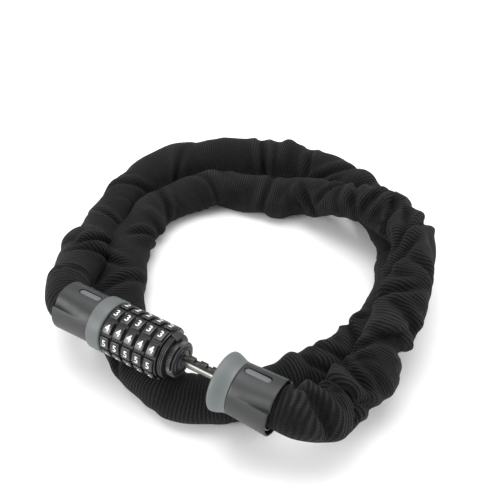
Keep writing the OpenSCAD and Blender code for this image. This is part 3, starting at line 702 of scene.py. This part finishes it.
# ---- Sleeve and chain ----
PIN_LEFT = (sum(span("left_chain_pin", 0)) / 2)
PIN_RIGHT = (sum(span("right_chain_pin", 0)) / 2)
END_W = 20.8
ROUTE = [
    (PIN_LEFT, 0, AXIS_Z, END_W, END_W), (LEFT_MOUTH, 0, AXIS_Z, END_W, END_W), (-54.6, 1.5, 35.9, 20.6, 21),
    (-60, 7.8, 34.5, 21.6, 22.6), (-69.8, 21.4, 29.5, 24.5, 22), (-82.6, 41.9, 22, 28, 22),
    (-95.2, 66, 15, 29, 22), (-107.5, 95, 11, 27, 22), (-116.5, 124, 11, 26.5, 22), (-116, 153, 12, 30, 24),
    (-103.8, 179, 13, 34, 26), (-80.8, 200, 13, 34, 26), (-53, 215.5, 13, 32, 26), (-22, 222.5, 13, 32, 26),
    (10, 218.8, 13, 31, 26), (38, 207, 12, 28.5, 24), (62, 186, 11, 25, 22), (80, 159, 11, 25, 22),
    (90, 129, 11, 25, 22), (93, 99, 11, 25, 22), (86, 67, 11, 25, 22), (70, 36, 10.4, 25, 20.8),
    (48, 10, 10.3, 25, 20.6), (26, -3, 10.3, 25, 20.6), (4, -2, 10.3, 25, 20.6), (-20, 8, 10.3, 25, 20.6),
    (-42, 26.2, 10.6, 29.5, 21.2), (-60.4, 49.2, 11, 32, 22), (-74.4, 73.6, 11, 29.5, 22),
    (-82.4, 100, 11, 27, 22), (-82, 128.4, 11, 28, 22), (-69, 154.2, 11.8, 31, 23.5),
    (-46, 167.2, 11.8, 29.5, 23.5),
    (-20, 176.2, 12.5, 29.5, 23.5), (5, 181, 17, 28, 23.5), (30, 176, 26, 25, 22), (54, 170, 33, 25, 22),
    (78, 160, 35.5, 25, 22), (92, 142, 36.5, 25, 22), (100, 120, 35, 25, 22), (102.5, 95.5, 33, 24.5, 22),
    (103.5, 74, 30.5, 23.5, 21.5), (102.5, 51, 22.5, 23.5, 21.5), (100, 30.5, 23, 25, 22),
    (95.5, 14.5, 26, 24.5, 22.5), (RIGHT_MOUTH + 8, 2.2, 36.2, 22, 22),
    (RIGHT_MOUTH - 2.5, 0.4, AXIS_Z + 0.4, 20.6, 20.6), (PIN_RIGHT, 0, AXIS_Z, END_W, END_W),
]
ALONG = 820
AROUND = 88
SLEEVE_R = 12.0
MOST_SLACK = 3.2      # how deep the cloth may sink below its section
CLOTH_T = 0.3
END_REACH = 40        # how far from a chain pin the caps still hold the cloth
UNDER_HEAD = 50       # half the length of the head that the lowest strand passes under
PLEAT_MM = 8.5
# Scale of the painted light and shade on the folds: a rise of this many millimetres over the surroundings
# spans the whole range
FOLD_SHADING_MM = 2.6
# The table of folds gives rough sizes; valleys come out narrower and everything deeper
VALLEY_WIDTH = 0.82
PUFF_WIDTH = 0.95
FOLD_DEPTH = 1.5
MOST_PUFF = 4.2
OVER_CAD = 0.35       # how far the cloth lies outside the route's own section


def measured_route():
    """The route as even steps of its own length: places, sizes, directions and bends"""
    rows = np.array(ROUTE, float)
    n = len(rows)
    steps = 24
    t = np.linspace(0, n - 1, (n - 1) * steps + 1)
    i = np.minimum(t.astype(int), n - 2)
    f = (t - i)[:, None]
    p0, p1 = rows[np.maximum(i - 1, 0)], rows[i]
    p2, p3 = rows[i + 1], rows[np.minimum(i + 2, n - 1)]
    line = 0.5 * (2 * p1 + (p2 - p0) * f + (2 * p0 - 5 * p1 + 4 * p2 - p3) * f ** 2
                  + (3 * p1 - p0 - 3 * p2 + p3) * f ** 3)
    line[:, 2] = np.maximum(line[:, 2], line[:, 4] / 2)
    gone = np.concatenate([[0], np.cumsum(np.linalg.norm(np.diff(line[:, :3], axis=0), axis=1))])
    s = np.linspace(0, gone[-1], ALONG + 1)
    even = np.column_stack([np.interp(s, gone, line[:, c]) for c in range(5)])
    ahead = np.gradient(even[:, :3], s, axis=0)
    kernel = np.ones(7) / 7
    padded = np.pad(ahead, ((3, 3), (0, 0)), mode="edge")
    ahead = np.column_stack([np.convolve(padded[:, c], kernel, "valid") for c in range(3)])
    ahead /= np.linalg.norm(ahead, axis=1)[:, None]
    side = np.cross([0, 0, 1], ahead)
    side /= np.linalg.norm(side, axis=1)[:, None]
    up = np.cross(ahead, side)
    bend = np.gradient(ahead, s, axis=0)
    return s, even, ahead, side, up, bend, gone[::steps]


# Folds that the coil's bends force on the cloth: place in rows of the route, angle round the sleeve and
# lean in degrees, then half width, reach and depth of the valley; a negative depth is a puff
FOLDS = [
    (4.9, 150, 35, 3.2, 17, 2.4), (5.6, 60, 0, 9.0, 16, -2.6), (5.3, 120, 50, 2.6, 14, 2.2),
    (3.4, 100, 10, 2.4, 14, 1.6), (6.5, 130, -30, 2.6, 15, 1.5), (8.0, 110, 35, 3.4, 20, 1.5),
    (9.6, 150, -40, 3.0, 16, 1.2), (12.1, 140, 8, 3.6, 19, 2.6), (12.6, 100, 0, 5.0, 13, -2.4),
    (13.3, 100, 30, 3.2, 15, 1.8), (14.1, 120, -35, 3.4, 17, 2.2), (14.7, 90, 0, 7.0, 14, -2.2),
    (15.4, 100, 30, 3.0, 15, 2.2), (19.5, 160, 20, 3.0, 12, 2.0), (19.8, 110, -35, 2.8, 14, 2.0),
    (20.4, 100, 20, 2.6, 13, 1.6), (21.0, 110, 0, 5.0, 11, -2.0), (20.6, 45, 40, 2.8, 13, 1.8),
    (24.8, 60, 35, 3.0, 16, 1.4), (26.6, 110, 30, 3.2, 15, 1.6), (27.4, 35, -45, 3.0, 17, 2.0),
    (28.4, 150, 30, 2.8, 13, 1.9), (29.1, 150, 0, 5.0, 11, -2.2), (29.7, 120, -35, 3.0, 15, 1.8),
    (31.2, 110, 30, 3.6, 16, 1.3), (32.9, 120, 0, 3.4, 17, 1.6), (33.2, 225, 0, 10.0, 15, -3.6),
    (34.3, 150, 40, 3.2, 16, 2.2), (34.9, 110, -30, 2.8, 15, 1.9), (35.6, 90, 25, 3.0, 17, 2.2),
    (36.3, 80, -12, 3.4, 18, 2.8), (36.5, 35, 0, 7.0, 12, -4.0), (36.9, 110, 45, 3.0, 20, 2.8),
    (37.6, 60, 35, 3.0, 16, 2.2), (38.0, 120, 65, 3.4, 24, 2.6), (38.9, 130, 70, 3.2, 22, 2.6),
    (39.2, 40, -30, 3.4, 15, 1.6), (40.1, 120, 25, 3.0, 16, 2.4), (40.6, 60, -25, 3.2, 14, 1.7),
    (41.3, 40, 5, 4.0, 17, 3.0), (41.5, 100, 40, 3.0, 16, 2.2), (42.0, 20, 0, 8.0, 14, -3.0),
    (42.6, 110, -30, 2.8, 15, 2.0), (43.1, 30, 35, 3.0, 15, 2.2), (43.5, 90, -25, 3.2, 17, 2.8),
    (44.2, 60, 10, 7.0, 15, -2.0), (44.8, 75, 28, 2.6, 15, 3.2), (45.3, 130, -15, 2.4, 13, 2.4),
]


def fold(s_grid, theta_grid, middle, at, lean, width, reach, depth):
    """One fold in millimetres: a valley between two lips, or a puff where depth is negative"""
    gap = (theta_grid - at + math.pi) % math.tau - math.pi
    ds = s_grid - middle
    across = ds * math.cos(lean) - SLEEVE_R * gap * math.sin(lean)
    along = ds * math.sin(lean) + SLEEVE_R * gap * math.cos(lean)
    # The line of the fold bows a little
    across = across + 0.12 * along * np.sin(along / reach + middle)
    window = np.exp(-(along / reach) ** 4)
    if depth < 0:
        return -depth * window * np.exp(-(np.abs(across) / width) ** 2.6)
    lips = np.exp(-((np.abs(across) - 1.9 * width) / (1.1 * width)) ** 2)
    return depth * window * (0.6 * lips - np.exp(-np.abs(across / width) ** 1.6))


def crumple(s_total, s, theta, bend_in, row_places):
    """How far the cloth stands in or out, in millimetres, at each ring s and angle theta"""
    draws = random.Random(11)
    s_grid, theta_grid = np.meshgrid(s, theta, indexing="ij")
    share = s_grid / s_total
    # The last third has been pushed together the most
    loose = 0.7 + 0.6 * np.clip((share - 0.6) / 0.12, 0, 1)
    near_end = np.clip(np.minimum(s_grid - 12, s_total - 9 - s_grid) / 8, 0, 1)
    stand = np.zeros_like(s_grid)
    # Broad swells
    for k in range(24):
        wave = draws.uniform(30, 80)
        around = draws.choice((1, 2, 2, 3))
        phase = draws.uniform(0, math.tau)
        stand += 0.2 * np.sin(math.tau * s_grid / wave + around * theta_grid + phase)
    # Pleats on the inside of each bend
    skew = 0.5 * np.sin(1.7 * theta_grid + s_grid / 37) + 0.35 * np.sin(s_grid / 23 + 2 * theta_grid)
    pleat = np.abs(np.sin(math.pi * (s_grid / PLEAT_MM + skew)))
    stand += 34 * bend_in * (pleat ** 0.7 - 0.62)
    # Small creases everywhere
    for k in range(80):
        stand += fold(s_grid, theta_grid, s_total * draws.random(), draws.uniform(0, math.tau),
                      draws.gauss(0, 0.6), draws.uniform(1.8, 3.6), draws.uniform(8, 18),
                      draws.uniform(0.3, 1.0))
    stand *= loose
    for row, at, lean, width, reach, depth in FOLDS:
        narrowed = VALLEY_WIDTH if depth > 0 else PUFF_WIDTH
        middle = np.interp(row, range(len(row_places)), row_places)
        stand += fold(s_grid, theta_grid, middle, math.radians(at), math.radians(lean), width * narrowed,
                      reach, depth * FOLD_DEPTH)
    return stand * near_end


def chain_reach(even, side, up):
    """How far the chain comes out towards each place on the sleeve, as the sleeve's stand measures it"""
    mesh = nodes["chain_links"].data
    co = np.empty(len(mesh.vertices) * 3)
    mesh.vertices.foreach_get("co", co)
    co = co.reshape(-1, 3) / MM
    reach = np.full((ALONG + 1, AROUND), -MOST_SLACK)
    for start in range(0, len(co), 4000):
        part = co[start:start + 4000]
        ring = ((part[:, None, :] - even[None, ::2, :3]) ** 2).sum(2).argmin(1) * 2
        off = part - even[ring, :3]
        u, v = (off * side[ring]).sum(1), (off * up[ring]).sum(1)
        cos, sin = 2 * u / even[ring, 3], 2 * v / even[ring, 4]
        spot = np.round(np.arctan2(sin, cos) / math.tau * AROUND).astype(int) % AROUND
        out = np.hypot(u, v) * (1 - 1 / np.maximum(np.hypot(cos, sin), 0.05))
        np.maximum.at(reach, (ring, spot), out)
    return widest(reach, 3, 3)


def widest(grid, along, around):
    """The largest value near each place of a grid that closes on itself round the sleeve"""
    for axis, count in ((0, along), (1, around)):
        shifted = [np.roll(grid, k, axis) for k in range(-count, count + 1)]
        grid = np.maximum.reduce(shifted)
    return grid


def lay_cloth(bm, laid, painted_fold_shading, place, fold_shading_values, girth, s_total):
    """Adds a grid of cloth whose corners lie at place[along, around], with its laid out UVs and its painted
    fold shading
    """
    rings, spots = place.shape[0] - 1, place.shape[1] - 1
    made = bmesh.ops.create_grid(bm, x_segments=rings, y_segments=spots, size=0.5)["verts"]
    for face in {f for v in made for f in v.link_faces}:
        for loop in face.loops:
            co = loop.vert.co
            loop[laid].uv = ((co.y + 0.5) * girth * MM, (co.x + 0.5) * s_total * MM)
    for v in made:
        at = round((v.co.x + 0.5) * rings), round((v.co.y + 0.5) * spots)
        v.co = place[at] * MM
        v[painted_fold_shading] = fold_shading_values[at]


def make_sleeve():
    """The sleeve, as an outer face with its folds and a smooth lining, joined at both raw ends"""
    s, even, ahead, side, up, bend, row_places = measured_route()
    s_total = s[-1]
    theta = np.linspace(0, math.tau, AROUND + 1)
    out_dirs = (np.cos(theta)[None, :, None] * side[:, None, :]
                + np.sin(theta)[None, :, None] * up[:, None, :])
    bend_in = np.clip((out_dirs * bend[:, None, :]).sum(2), 0, 0.045)
    stand = np.minimum(crumple(s_total, s, theta, bend_in, row_places), MOST_PUFF)[:, :-1]
    # The cloth sinks between the links, but never through them
    stand = np.maximum(stand, chain_reach(even, side, up))
    inside = np.minimum(-widest(-stand, 4, 1) - CLOTH_T, -0.85)
    # Painted light and shade on the folds: crests are painted paler and valleys darker, as light falls on
    # them
    around_it = np.mean([np.roll(stand, (a, b), (0, 1)) for a in range(-6, 7) for b in range(-6, 7)], axis=0)
    fold_shading_values = np.clip(0.5 + (stand - around_it) / FOLD_SHADING_MM, 0, 1)
    stand, inside, fold_shading_values = (np.column_stack([grid, grid[:, 0]]) for grid in (stand, inside, fold_shading_values))

    def rings(extra):
        half_w = even[:, 3][:, None] / 2 + extra
        half_h = even[:, 4][:, None] / 2 + extra
        return (even[:, None, :3] + (half_w * np.cos(theta))[:, :, None] * side[:, None, :]
                + (half_h * np.sin(theta))[:, :, None] * up[:, None, :])

    outer = rings(stand + OVER_CAD)
    # Lips lean a little along the sleeve, so that folds overhang
    outer += ahead[:, None, :] * (np.clip(stand, -1, 2) * 0.5 * np.sin(s / 19.0)[:, None])[:, :, None]
    outer[:, :, 2] = np.maximum(outer[:, :, 2], 0.12 + 0.05 * np.sin(s / 3.1)[:, None])
    # Inside the caps the cloth is clamped to less than their bore
    inside_cap = ((s < END_REACH) | (s > s_total - END_REACH))[:, None] & (
        ((outer[:, :, 0] > LEFT_MOUTH + 0.5) & (outer[:, :, 0] < 0))
        | ((outer[:, :, 0] < RIGHT_MOUTH - 0.5) & (outer[:, :, 0] > 0)))
    off_axis = np.hypot(outer[:, :, 1], outer[:, :, 2] - AXIS_Z)
    held = np.where(inside_cap, np.minimum(1, (CAP_BORE_R - 0.7) / np.maximum(off_axis, 1)), 1)
    outer[:, :, 1] *= held
    outer[:, :, 2] = AXIS_Z + (outer[:, :, 2] - AXIS_Z) * held
    # The strand under the head is pressed down by the dials
    away = (s > 2 * END_REACH) & (s < s_total - 2 * END_REACH)
    under = away[:, None] & (np.abs(outer[:, :, 0]) < UNDER_HEAD) & (outer[:, :, 2] < AXIS_Z)
    clear = AXIS_Z - np.sqrt(np.maximum((DIAL_R + 0.5) ** 2 - outer[:, :, 1] ** 2, 0))
    outer[:, :, 2] = np.where(under, np.minimum(outer[:, :, 2], clear), outer[:, :, 2])
    lining = rings(inside)[::4]
    bm = bmesh.new()
    laid = bm.loops.layers.uv.new("laid")
    girth = math.pi * 24.5
    painted_fold_shading = bm.verts.layers.float.new("painted_fold_shading")
    lay_cloth(bm, laid, painted_fold_shading, outer, fold_shading_values, girth, s_total)
    # The lining gets the fullest painted shade
    lay_cloth(bm, laid, painted_fold_shading, lining, np.zeros_like(fold_shading_values)[::4], girth, s_total)
    bmesh.ops.remove_doubles(bm, verts=bm.verts, dist=1e-6)
    for end in (even[0], even[-1]):
        middle = Vector(end[:3] * MM)
        rims = [e for e in bm.edges if len(e.link_faces) == 1 and (e.verts[0].co - middle).length < 0.02]
        bmesh.ops.bridge_loops(bm, edges=rims)
    bmesh.ops.recalc_face_normals(bm, faces=bm.faces)
    mesh = bpy.data.meshes.new("woven_sleeve")
    bm.to_mesh(mesh)
    bm.free()
    mesh.materials.append(black_sleeve)
    mesh.shade_smooth()
    sleeve = bpy.data.objects.new("woven_sleeve", mesh)
    bpy.context.scene.collection.objects.link(sleeve)
    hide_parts("sleeve")
    hang(sleeve, s, even)
    return s, even


def hang(piece, s, even):
    """Bakes a piece's place into its mesh and finds, for each of its points, the nearest distance along the
    sleeve
    """
    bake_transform(piece)
    count = len(piece.data.vertices)
    co = np.empty(count * 3)
    piece.data.vertices.foreach_get("co", co)
    co = co.reshape(-1, 3) / MM
    nearest = np.empty(count)
    coarse = even[::3, :3]
    for start in range(0, count, 4000):
        part = co[start:start + 4000]
        gaps = ((part[:, None, :] - coarse[None, :, :]) ** 2).sum(2)
        nearest[start:start + 4000] = s[::3][gaps.argmin(1)]


def make_chain(s, even):
    """The links as they lie in the sleeve"""
    bm = bmesh.new()
    bm.from_mesh(nodes["chain_links"].data)
    bmesh.ops.remove_doubles(bm, verts=bm.verts, dist=1e-6)
    mesh = bpy.data.meshes.new("welded_links")
    bm.to_mesh(mesh)
    bm.free()
    mesh.materials.clear()
    mesh.materials.append(plated_chain)
    mesh.shade_smooth()
    mesh.set_sharp_from_angle(angle=math.radians(50))
    links = bpy.data.objects.new("welded_links", mesh)
    bpy.context.scene.collection.objects.link(links)
    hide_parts("chain_links")
    hang(links, s, even)


sleeve_s, sleeve_line = make_sleeve()
make_chain(sleeve_s, sleeve_line)

# ---- CAD nodes that stay, with their finishes ----
FINISHES = {
    "left_anchor": cast_zinc, "right_anchor": cast_zinc, "barrel": cast_zinc,
    "left_chain_pin": ground_steel, "right_chain_pin": ground_steel, "left_cap_screw": ground_steel,
    "right_cap_screw": ground_steel, "barrel_pin": ground_steel, "bolt_pin": ground_steel,
    "reset_stop_pin": ground_steel, "left_clamp": rolled_strip, "right_clamp": rolled_strip,
    "detent_spring": rolled_strip, "spring_washer": rolled_strip, "retaining_clip": rolled_strip,
}
for k in range(1, DIALS + 1):
    FINISHES["tumbler_%d" % k] = cast_zinc
for name, finish in FINISHES.items():
    for material_slot in nodes[name].material_slots:
        material_slot.material = finish


# ---- Floor and light ----
def make_stage():
    material, tree, shader = blank("white_paper_sweep", Roughness=0.9)
    place = add(tree, "ShaderNodeTexCoord").outputs["Object"]
    fibre = add(tree, "ShaderNodeTexNoise", {"Scale": 1 / (40 * MM), "Detail": 2.0}, Vector=place)
    tone = add(tree, "ShaderNodeMix", {"data_type": "RGBA", 6: linear("#f4f4f4"), 7: linear("#ffffff")},
               i0=fibre.outputs["Fac"])
    tree.links.new(tone.outputs[2], shader.inputs["Base Color"])
    bm = bmesh.new()
    bmesh.ops.create_grid(bm, x_segments=1, y_segments=1, size=3)
    mesh = bpy.data.meshes.new("floor")
    bm.to_mesh(mesh)
    bm.free()
    mesh.materials.append(material)
    floor = bpy.data.objects.new("floor", mesh)
    bpy.context.scene.collection.objects.link(floor)


def lamp(name, place, size, power, at=(0, 0.08, 0.02)):
    data = bpy.data.lights.new(name, "AREA")
    data.size = size
    data.energy = power
    light = bpy.data.objects.new(name, data)
    light.location = place
    light.rotation_mode = "QUATERNION"
    light.rotation_quaternion = (Vector(at) - Vector(place)).to_track_quat("-Z", "Y")
    bpy.context.scene.collection.objects.link(light)


make_stage()
lamp("overhead", (-0.1, 0.2, 1.0), 0.8, 7.5)
lamp("front_left", (-0.5, -0.76, 0.5), 0.45, 6)
lamp("right_back", (0.8, 0.6, 0.5), 0.5, 3)
world = bpy.data.worlds.new("studio")
world.use_nodes = True
world.node_tree.nodes["Background"].inputs[0].default_value = linear("#ffffff")
world.node_tree.nodes["Background"].inputs[1].default_value = 0.75
bpy.context.scene.world = world
bpy.context.scene.view_settings.view_transform = "Standard"
